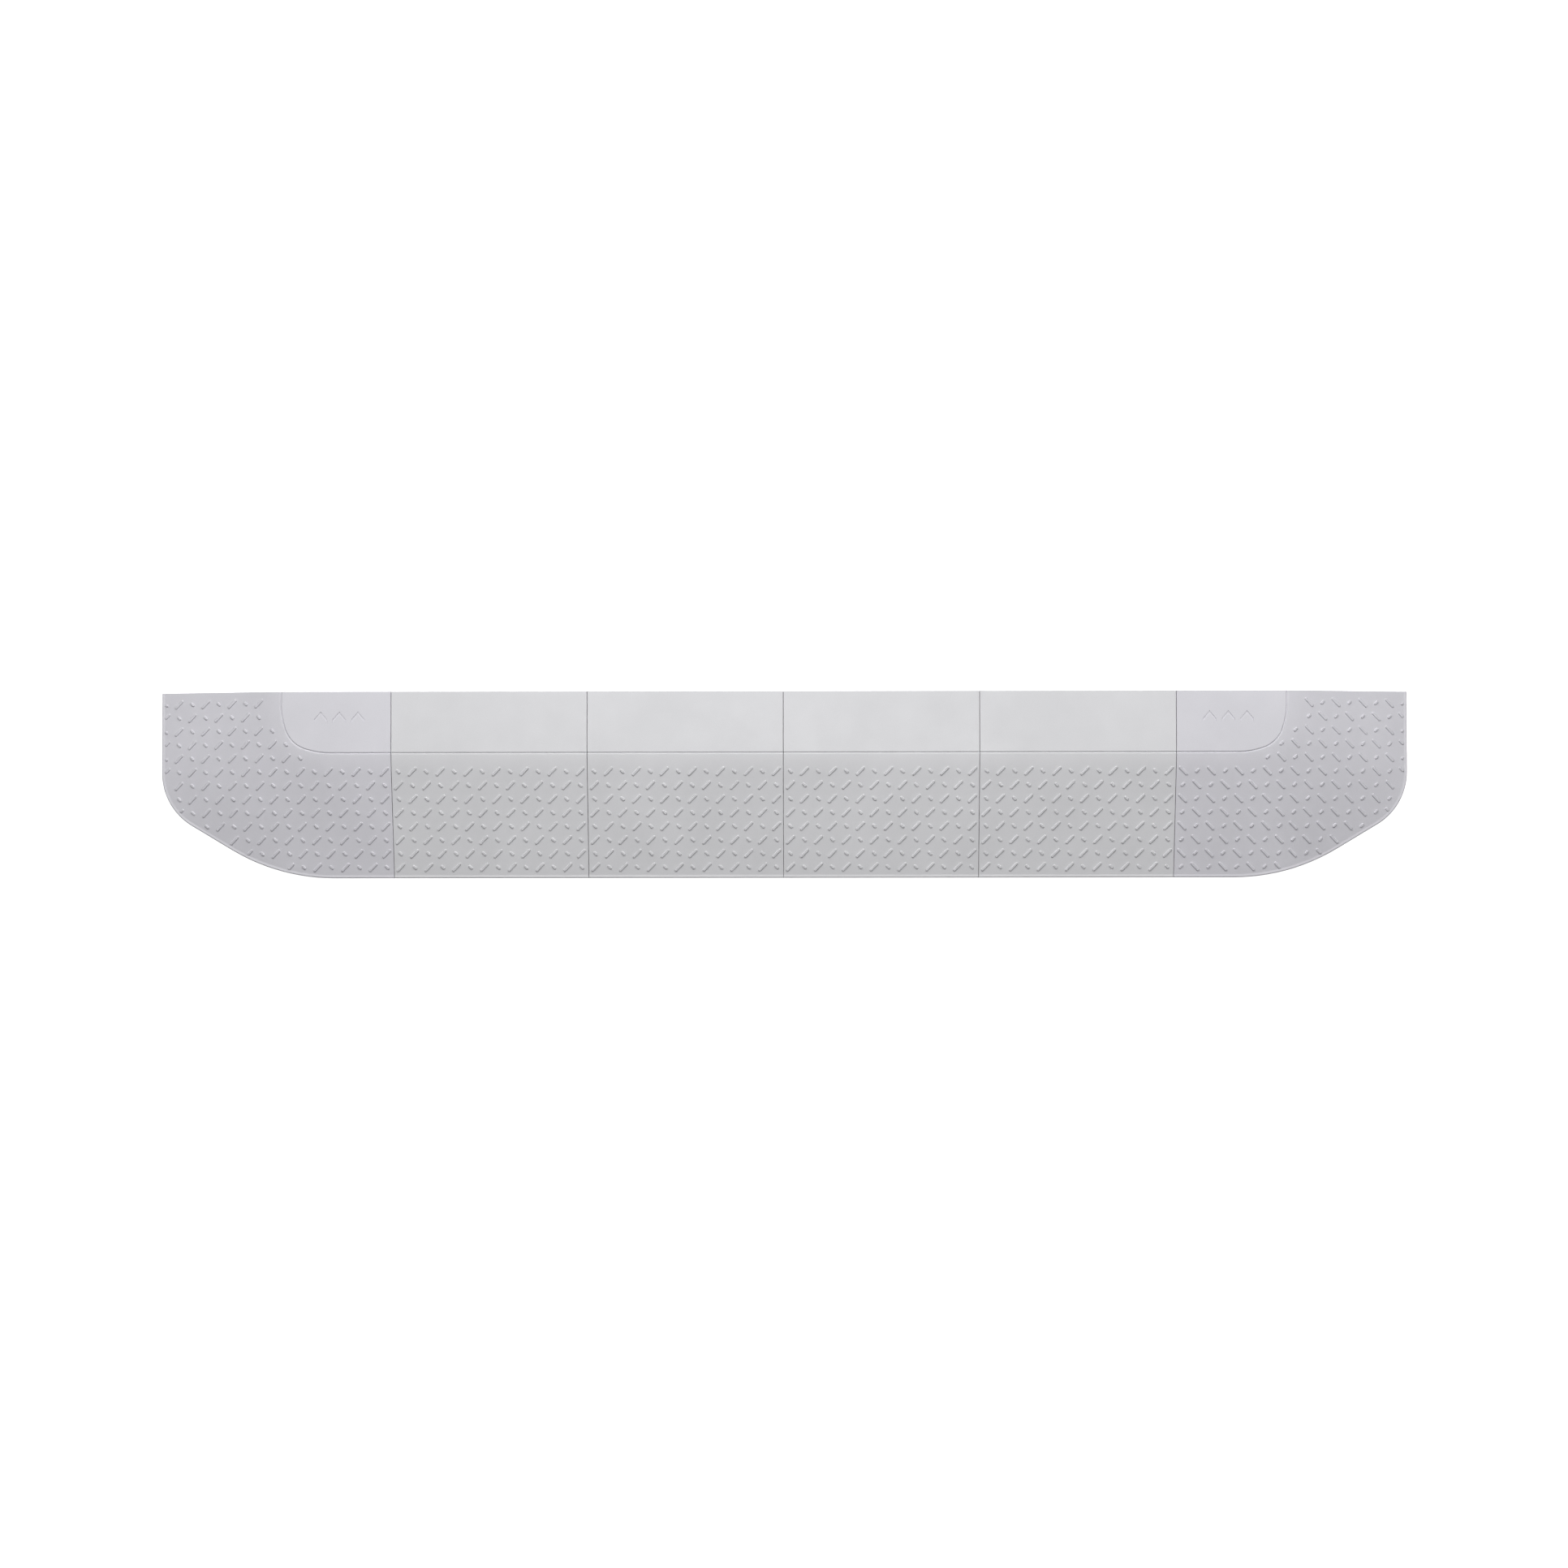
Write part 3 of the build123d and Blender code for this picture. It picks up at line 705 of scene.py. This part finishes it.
def bow_tie(play=0.0):
    """Outline of a clip, centred on its seam, grown by play."""
    reach = (CLIP_HIGH.x - CLIP_LOW.x) / 2
    rise = (CLIP_END - CLIP_NECK) / 2 / reach
    lean = math.hypot(1, rise)
    neck = CLIP_NECK / 2 + play * lean
    end = neck + rise * (reach + play)
    turn = 90 + math.degrees(math.atan(rise))
    radius = CLIP_ROUND + play
    centre_y = end - radius * (lean + rise)
    outline = arc_points((reach + play - radius, centre_y), radius, 0, turn, CLIP_ARC_STEPS)
    outline.append((0, neck))
    outline += arc_points((-reach - play + radius, centre_y), radius, 180 - turn, turn, CLIP_ARC_STEPS)
    outline += [(-x, -y) for x, y in outline]
    return outline


def pockets(seam_x, side):
    """Clip pockets on one side of a seam, open below: tight on the left of it, loose on the right of it."""
    play = CLIP_PLAY if side > 0 else CLIP_PRESS
    bm = bmesh.new()
    for y in CLIP_YS:
        outline = [(seam_x + px, y + py) for px, py in bow_tie(play)]
        upright(bm, outline, -CUT_PAST, CLIP_HIGH.z + play)
    return make_object("pockets", bm)


def node_centre(name):
    """Centre of a CAD node in plan."""
    low, high = (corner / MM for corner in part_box(name))
    return (low.x + high.x) / 2, (low.y + high.y) / 2


def foot_rooms(names):
    """Round recesses for feet, open below and wider than the feet."""
    bm = bmesh.new()
    for name in names:
        low, high = (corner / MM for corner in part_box(name))
        outline = circle(node_centre(name), (high.x - low.x) / 2 + FOOT_ROOM, ROUND_SIDES)
        upright(bm, outline, -CUT_PAST, high.z)
    return make_object("foot_rooms", bm)


def grip_rooms(names):
    """Slots for grip strips, open below and a little wider than the strips."""
    bm = bmesh.new()
    for name in names:
        low, high = (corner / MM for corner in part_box(name))
        across = (low.x - GRIP_ROOM, high.x + GRIP_ROOM)
        along = (low.y - GRIP_ROOM, high.y + GRIP_ROOM)
        upright(bm, rounded_rectangle(*across, *along, GRIP_CORNER), -CUT_PAST, high.z)
    return make_object("grip_rooms", bm)


CLIP_YS = [node_centre("seam_1_rear_clip")[1], node_centre("seam_1_front_clip")[1]]


# ---------------------------------------------------------------------- whole shells


def shift(piece, x=0.0, z=0.0):
    """Moves a mesh by millimetres."""
    piece.data.transform(Matrix.Translation((x * MM, 0, z * MM)))
    return piece


def middle_shell():
    """A middle module's whole shell, centred on x = 0."""
    centre = (MIDDLE_LOW.x + MIDDLE_HIGH.x) / 2
    half = MODULE / 2
    inner = half - SEAM_GAP / 2 - WALL
    ribs_x = [k * RIB_PITCH / 2 for k in (-3, -1, 1, 3)]
    hollow = cells(walls_at(-inner, ribs_x, inner), walls_at(FRONT + SOLID_EDGE, CROSS_RIBS, REAR - WALL))
    combine(hollow, "INTERSECT", shift(middle_body(detailed=False), z=-ROOF_DROP))
    feet = ("middle_1_left_foot", "middle_1_right_foot")
    foot_places = [(x - centre, y) for x, y in map(node_centre, feet)]
    combine(hollow, "DIFFERENCE", solids_in_hollow(foot_places, [(-half, 1), (half, -1)]))
    rooms = foot_rooms(feet)
    slots = grip_rooms(["middle_1_front_grip"])
    shell = middle_body()
    combine(shell, "UNION", bars("bars", middle_bar_lines(), lambda x, y: top_height(CREASE - y, SLOPE_RUN)))
    tools = [hollow, shift(rooms, -centre), shift(slots, -centre), pockets(-half, 1), pockets(half, -1)]
    return without_slivers(combine(shell, "DIFFERENCE", *tools))


def height_reader(body):
    """A function that reads the height of a body's top in millimetres, by a ray from far above it."""
    tree = BVHTree.FromObject(body, bpy.context.evaluated_depsgraph_get())

    def height_at(x, y):
        hit = tree.ray_cast(Vector((x * MM, y * MM, 1.0)), Vector((0, 0, -1)))[0]
        return LIP_TOP if hit is None else hit.z / MM

    return height_at


def end_shell(side):
    """An end module's whole shell: side -1 is the left one, and 1 is its mirror image."""
    region = bmesh.new()
    outline = [(x, y) for x, y, _ in outline_stations(SOLID_EDGE, WALL, SEAM_GAP / 2 + WALL)]
    outline.append((outline[-1][0], REAR - WALL))
    upright(region, outline, -BLOCK_PAST, DEEP)
    ribs_x = [END_SEAM_X - k * RIB_PITCH for k in (1, 2, 3, 4, 5)]
    x_walls = walls_at(OUTER_X + CELL_INSET, ribs_x, END_SEAM_X - SEAM_GAP / 2 - WALL)
    hollow = cells(x_walls, walls_at(FRONT + CELL_INSET, CROSS_RIBS, REAR - WALL))
    plain = end_body(detailed=False)
    height_at = height_reader(plain)
    combine(hollow, "INTERSECT", make_object("region", region), shift(plain, z=-ROOF_DROP))
    feet = ("left_end_inner_foot", "left_end_outer_foot")
    combine(hollow, "DIFFERENCE", solids_in_hollow(map(node_centre, feet), [(END_SEAM_X, -1)]))
    rooms = foot_rooms(feet)
    slots = grip_rooms(["left_end_front_grip", "left_end_side_grip"])
    shell = end_body()
    combine(shell, "UNION", bars("bars", end_bar_lines(), height_at))
    tools = [hollow, rooms, slots, pockets(END_SEAM_X, side), chevrons(END_SEAM_X - MARK_FROM_SEAM)]
    without_slivers(combine(shell, "DIFFERENCE", *tools))
    if side > 0:
        shell.data.transform(Matrix.Scale(-1, 4, (1, 0, 0)))
        shell.data.flip_normals()
    return shell


# ---------------------------------------------------------------------- materials


def new_material(name):
    """A node material, its nodes and its shader."""
    material = bpy.data.materials.new(name)
    material.use_nodes = True
    shader = material.node_tree.nodes["Principled BSDF"]
    return material, material.node_tree, shader


def noise(tree, scale, detail):
    """A noise texture over the object's own coordinates, scale in features per metre."""
    place = tree.nodes.new("ShaderNodeTexCoord")
    texture = tree.nodes.new("ShaderNodeTexNoise")
    texture.inputs["Scale"].default_value = scale
    texture.inputs["Detail"].default_value = detail
    tree.links.new(place.outputs["Object"], texture.inputs["Vector"])
    return texture.outputs["Fac"]


def between(tree, factor, low, high):
    """Maps a noise value to a range."""
    node = tree.nodes.new("ShaderNodeMapRange")
    node.inputs["From Min"].default_value = NOISE_LOW
    node.inputs["From Max"].default_value = NOISE_HIGH
    node.inputs["To Min"].default_value = low
    node.inputs["To Max"].default_value = high
    tree.links.new(factor, node.inputs["Value"])
    return node.outputs["Result"]


def blend_colours(tree, factor, first, second):
    """A colour between two, chosen by a factor."""
    node = tree.nodes.new("ShaderNodeMix")
    node.data_type = "RGBA"
    tree.links.new(factor, node.inputs["Factor"])
    for socket, value in zip((node.inputs[6], node.inputs[7]), (first, second)):
        if isinstance(value, bpy.types.NodeSocket):
            tree.links.new(value, socket)
        else:
            socket.default_value = (*value, 1)
    return node.outputs[2]


def bump(tree, shader, height, strength, distance):
    """Fine relief on a shader."""
    node = tree.nodes.new("ShaderNodeBump")
    node.inputs["Strength"].default_value = strength
    node.inputs["Distance"].default_value = distance
    tree.links.new(height, node.inputs["Height"])
    tree.links.new(node.outputs["Normal"], shader.inputs["Normal"])


def moulded_plastic(name, colour, grain=1800, roughness=0.5):
    """Light plastic with a spark-eroded grain, faint clouding and an uneven sheen."""
    material, tree, shader = new_material(name)
    darker = tuple(c * CLOUD_DARK for c in colour)
    lighter = tuple(min(1, c * CLOUD_LIGHT) for c in colour)
    cloud = between(tree, noise(tree, scale=22, detail=3), low=0, high=1)
    speck = between(tree, noise(tree, scale=grain, detail=2), low=0, high=1)
    clouded = blend_colours(tree, cloud, darker, lighter)
    shade = tree.nodes.new("ShaderNodeMix")
    shade.data_type = "RGBA"
    shade.blend_type = "MULTIPLY"
    shade.inputs["Factor"].default_value = 1
    tree.links.new(clouded, shade.inputs[6])
    tree.links.new(blend_colours(tree, speck, (SPECK_SHADE,) * 3, (1, 1, 1)), shade.inputs[7])
    tree.links.new(shade.outputs[2], shader.inputs["Base Color"])
    sheen = between(tree, noise(tree, scale=60, detail=4), low=roughness - 0.04, high=roughness + 0.05)
    tree.links.new(sheen, shader.inputs["Roughness"])
    bump(tree, shader, noise(tree, scale=grain, detail=3), strength=0.25, distance=0.00012)
    return material


def rubber(name, colour):
    """Dull rubber with a fine matte grain."""
    material, tree, shader = new_material(name)
    lighter = tuple(c * RUBBER_LIGHT for c in colour)
    cloud = between(tree, noise(tree, scale=60, detail=4), low=0, high=1)
    tree.links.new(blend_colours(tree, cloud, colour, lighter), shader.inputs["Base Color"])
    sheen = between(tree, noise(tree, scale=900, detail=3), low=0.72, high=0.9)
    tree.links.new(sheen, shader.inputs["Roughness"])
    bump(tree, shader, noise(tree, scale=1400, detail=3), strength=0.3, distance=0.0001)
    return material


def dress(piece, material):
    """Gives a piece its material and clean shading."""
    piece.data.materials.clear()
    piece.data.materials.append(material)
    piece.data.shade_smooth()
    piece.data.set_sharp_from_angle(angle=math.radians(SHARP_ANGLE))
    weights = piece.modifiers.new("flat_faces_first", "WEIGHTED_NORMAL")
    weights.keep_sharp = True
    weights.weight = FLAT_WEIGHT


# ---------------------------------------------------------------------- clips, feet and grips


def clip_piece(node, name):
    """A joining clip with rounded edges and a slot to prise it out from below."""
    low, high = (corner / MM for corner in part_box(node))
    x, y = node_centre(node)
    steps = quarter(CLIP_EDGE)
    levels = [(low.z + drop, reach - CLIP_EDGE) for reach, drop in steps]
    levels += [(high.z - drop, reach - CLIP_EDGE) for reach, drop in reversed(steps)]
    bm = bmesh.new()
    stack(bm, [[(x + dx, y + dy, level) for dx, dy in bow_tie(grow)] for level, grow in levels])
    body = make_object(name, bm)
    slot_x = x - (high.x - low.x) / 4
    across = (slot_x - PRISE_WIDTH / 2, slot_x + PRISE_WIDTH / 2)
    along = (y - PRISE_LENGTH / 2, y + PRISE_LENGTH / 2)
    slot = bmesh.new()
    upright(slot, rounded_rectangle(*across, *along, PRISE_CORNER), low.z - CUT_PAST, low.z + PRISE_DEPTH)
    return combine(body, "DIFFERENCE", make_object("slot", slot))


def foot_piece(node, name):
    """A round rubber foot with a soft edge and two grip grooves round its sole."""
    low, high = (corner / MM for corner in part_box(node))
    radius = (high.x - low.x) / 2
    ceiling = low.z + FOOT_GROOVE_DEPTH
    profile = [(radius - FOOT_TOP_INSET, high.z), (radius, high.z - FOOT_TOP_DROP)]
    profile += [(radius - FOOT_EDGE + reach, low.z + drop) for reach, drop in reversed(quarter(FOOT_EDGE))]
    for share in FOOT_GROOVES:
        at = radius * share
        profile += [(at + FOOT_GROOVE_MOUTH, low.z), (at + FOOT_GROOVE_ROOT, ceiling)]
        profile += [(at - FOOT_GROOVE_ROOT, ceiling), (at - FOOT_GROOVE_MOUTH, low.z)]
    rings = []
    for reach, level in profile:
        rings.append([(x, y, level) for x, y in circle(node_centre(node), reach, FOOT_SIDES)])
    bm = bmesh.new()
    stack(bm, rings)
    return make_object(name, bm)


def grip_piece(node, name):
    """A rubber strip with soft edges and fine cross ribs on its sole."""
    low, high = (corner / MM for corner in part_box(node))
    lengthwise = 0 if high.x - low.x > high.y - low.y else 1
    length = (high - low)[lengthwise]
    width = (high - low)[1 - lengthwise]
    height = high.z - low.z
    count = int(length / TOOTH_PITCH)
    ribbed = length - 2 * GRIP_EDGE
    stations = [(0.0, GRIP_EDGE)]
    for k in range(count):
        start = GRIP_EDGE + ribbed * k / count
        stations += [(start + ribbed / count * share, lift) for share, lift in TOOTH_STEPS]
    stations.append((length, GRIP_EDGE))
    rings = []
    for at, lift in stations:
        inset = GRIP_EDGE if at in (0.0, length) else 0.0
        across = [
            (inset, height),
            (inset, max(GRIP_EDGE, lift)),
            (inset + GRIP_EDGE, lift),
            (width - inset - GRIP_EDGE, lift),
            (width - inset, max(GRIP_EDGE, lift)),
            (width - inset, height),
        ]
        ring = []
        for side, level in across:
            place = [0.0, 0.0]
            place[lengthwise] = low[lengthwise] + at
            place[1 - lengthwise] = low[1 - lengthwise] + side
            ring.append((*place, low.z + level))
        rings.append(ring)
    bm = bmesh.new()
    stack(bm, rings)
    return make_object(name, bm)


# ---------------------------------------------------------------------- building it all


def finish_piece(piece, name, node, body, material):
    """Names a piece, dresses it and ties it to the frame."""
    piece.name = name
    piece.data.name = name
    dress(piece, material)
    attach(piece, body)
    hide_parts(node)


def build_ramp():
    """Every visible piece of the ramp."""
    plastic = moulded_plastic("ramp_plastic_middle", MIDDLE_COLOUR)
    end_plastic = moulded_plastic("ramp_plastic_end", END_COLOUR)
    clip_plastic = moulded_plastic("clip_plastic", CLIP_COLOUR, grain=1200, roughness=0.42)
    grip_rubber = rubber("grip_rubber", RUBBER_COLOUR)
    for side, body in ((-1, "left_end"), (1, "right_end")):
        finish_piece(end_shell(side), f"{body}_ramp", f"{body}_shell", body, end_plastic)
    pattern = middle_shell()
    first_centre = (MIDDLE_LOW.x + MIDDLE_HIGH.x) / 2
    for index in range(MIDDLE_COUNT):
        body = f"middle_{index + 1}"
        piece = bpy.data.objects.new(f"{body}_ramp", pattern.data.copy())
        bpy.context.scene.collection.objects.link(piece)
        shift(piece, first_centre + index * MODULE)
        finish_piece(piece, f"{body}_ramp", f"{body}_shell", body, plastic)
    bpy.data.objects.remove(pattern)
    for body, members in frame["record"]["behaviour"]["bodies"].items():
        for node in members:
            if node.endswith("_clip"):
                piece = clip_piece(node, f"{node}_moulding")
                finish_piece(piece, f"{node}_moulding", node, body, clip_plastic)
            elif node.endswith("_foot"):
                finish_piece(foot_piece(node, node), f"{node}_pad", node, body, grip_rubber)
            elif node.endswith("_grip"):
                finish_piece(grip_piece(node, node), f"{node}_strip", node, body, grip_rubber)


# ---------------------------------------------------------------------- stage, light, camera


def floor_shader(shader, albedo, glow):
    """Makes a shader matte and neutral, with a white glow."""
    shader.inputs["Base Color"].default_value = (albedo, albedo, albedo, 1)
    shader.inputs["Roughness"].default_value = 0.9
    shader.inputs["Specular IOR Level"].default_value = 0.0
    shader.inputs["Emission Color"].default_value = (1, 1, 1, 1)
    shader.inputs["Emission Strength"].default_value = glow
    return shader.outputs["BSDF"]


def mix_shaders(tree, factor, first, second):
    """One shader where the factor is 0 and another where it is 1."""
    mix = tree.nodes.new("ShaderNodeMixShader")
    tree.links.new(factor, mix.inputs["Fac"])
    tree.links.new(first, mix.inputs[1])
    tree.links.new(second, mix.inputs[2])
    return mix.outputs["Shader"]


def floor():
    """A plain floor that is clear from below.

    Camera rays see it almost white, and it lights the ramp's edges like a darker floor.
    """
    bm = bmesh.new()
    bmesh.ops.create_grid(bm, x_segments=1, y_segments=1, size=FLOOR_REACH)
    piece = make_object("floor", bm)
    material, tree, shader = new_material("floor_white")
    seen = floor_shader(shader, **FLOOR_SEEN)
    thrown = floor_shader(tree.nodes.new("ShaderNodeBsdfPrincipled"), **FLOOR_THROWN)
    path = tree.nodes.new("ShaderNodeLightPath")
    facing = tree.nodes.new("ShaderNodeNewGeometry")
    clear = tree.nodes.new("ShaderNodeBsdfTransparent")
    top = mix_shaders(tree, path.outputs["Is Camera Ray"], thrown, seen)
    surface = mix_shaders(tree, facing.outputs["Backfacing"], top, clear.outputs["BSDF"])
    tree.links.new(surface, tree.nodes["Material Output"].inputs["Surface"])
    piece.data.materials.append(material)


def soft_box(name, place, size, power):
    """A soft rectangular studio light that faces the origin."""
    data = bpy.data.lights.new(name, "AREA")
    data.shape = "RECTANGLE"
    data.size, data.size_y = size
    data.energy = power
    lamp = bpy.data.objects.new(name, data)
    bpy.context.scene.collection.objects.link(lamp)
    lamp.location = place
    lamp.rotation_euler = (Vector() - Vector(place)).to_track_quat("-Z", "Y").to_euler()


def background(node, strength):
    """Makes a world background white at a strength."""
    node.inputs["Color"].default_value = (1, 1, 1, 1)
    node.inputs["Strength"].default_value = strength
    return node.outputs["Background"]


def lights():
    """A surround that only camera rays see bright, a strip behind the high side and a box overhead."""
    world = bpy.data.worlds.new("surround")
    bpy.context.scene.world = world
    world.use_nodes = True
    tree = world.node_tree
    lighting = background(tree.nodes["Background"], SURROUND_LIGHT)
    backdrop = background(tree.nodes.new("ShaderNodeBackground"), BACKDROP)
    path = tree.nodes.new("ShaderNodeLightPath")
    shown = mix_shaders(tree, path.outputs["Is Camera Ray"], lighting, backdrop)
    tree.links.new(shown, tree.nodes["World Output"].inputs["Surface"])
    soft_box("rear_strip", STRIP_PLACE, STRIP_SIZE, STRIP_POWER)
    soft_box("overhead", OVERHEAD_PLACE, OVERHEAD_SIZE, OVERHEAD_POWER)


def camera():
    """Looks almost straight down from the height that gives the seams their slight convergence."""
    about_x = Matrix.Rotation(math.radians(CAMERA_TILT), 3, "X")
    about_y = Matrix.Rotation(math.radians(CAMERA_LEAN), 3, "Y")
    about_z = Matrix.Rotation(math.radians(CAMERA_ROLL), 3, "Z")
    data = bpy.data.cameras.new("camera")
    data.sensor_width = SENSOR_WIDTH
    data.lens = FOCAL_LENGTH
    view = bpy.data.objects.new("camera", data)
    bpy.context.scene.collection.objects.link(view)
    to_world = (about_z @ about_y @ about_x).transposed()
    view.matrix_world = Matrix.Translation(CAMERA_PLACE) @ to_world.to_4x4()
    bpy.context.scene.camera = view


bpy.context.scene.view_settings.view_transform = "Standard"
build_ramp()
floor()
lights()
camera()
